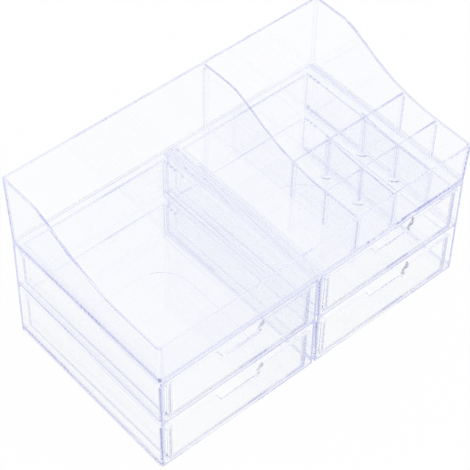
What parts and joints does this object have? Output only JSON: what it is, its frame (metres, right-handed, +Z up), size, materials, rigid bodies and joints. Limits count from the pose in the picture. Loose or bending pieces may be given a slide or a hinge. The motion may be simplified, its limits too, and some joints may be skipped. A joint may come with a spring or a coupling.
{
  "type": "makeup drawer organizer",
  "caption": "Clear moulded makeup organizer: paired drawer cabinets with notch-pull drawers under a swept-rim tray that holds a drop-in partition and a lipstick grid.",
  "frame": {"origin": "centre of the footprint on the surface the cabinets stand on", "axes": "+X to the right along the drawer fronts, +Y from the drawer fronts towards the back, +Z up"},
  "size_m": [0.3084, 0.1768, 0.1711],
  "materials": {
    "cabinet_clear": "clear moulded polystyrene, polished, faint violet-blue edge tint",
    "drawer_clear": "clear moulded polystyrene, polished",
    "tray_clear": "clear moulded polystyrene, polished",
    "divider_clear": "clear moulded polystyrene sheet, polished"
  },
  "bodies": {
    "cabinets": {"left_cabinet": "cabinet_clear", "right_cabinet": "cabinet_clear"},
    "left_lower_drawer": {"left_lower_drawer": "drawer_clear"},
    "left_upper_drawer": {"left_upper_drawer": "drawer_clear"},
    "right_lower_drawer": {"right_lower_drawer": "drawer_clear"},
    "right_upper_drawer": {"right_upper_drawer": "drawer_clear"},
    "tray": {"tray_shell": "tray_clear"},
    "partition": {"tray_partition": "divider_clear"},
    "lipstick_grid": {"grid_row_rear": "divider_clear", "grid_row_front": "divider_clear", "grid_column_left": "divider_clear", "grid_column_right": "divider_clear"}
  },
  "joints": [
    {"name": "left_lower_drawer_slide", "type": "slide", "parent": "cabinets", "child": "left_lower_drawer", "axis": [0, -1, 0], "range_m": [0, 0.115]},
    {"name": "left_upper_drawer_slide", "type": "slide", "parent": "cabinets", "child": "left_upper_drawer", "axis": [0, -1, 0], "range_m": [0, 0.115]},
    {"name": "right_lower_drawer_slide", "type": "slide", "parent": "cabinets", "child": "right_lower_drawer", "axis": [0, -1, 0], "range_m": [0, 0.115]},
    {"name": "right_upper_drawer_slide", "type": "slide", "parent": "cabinets", "child": "right_upper_drawer", "axis": [0, -1, 0], "range_m": [0, 0.115]},
    {"name": "tray_lift", "type": "slide", "parent": "cabinets", "child": "tray", "axis": [0, 0, 1], "range_m": [0, 0.1]},
    {"name": "partition_lift", "type": "slide", "parent": "tray", "child": "partition", "axis": [0, 0, 1], "range_m": [0, 0.075]},
    {"name": "grid_lift", "type": "slide", "parent": "tray", "child": "lipstick_grid", "axis": [0, 0, 1], "range_m": [0, 0.055]}
  ]
}
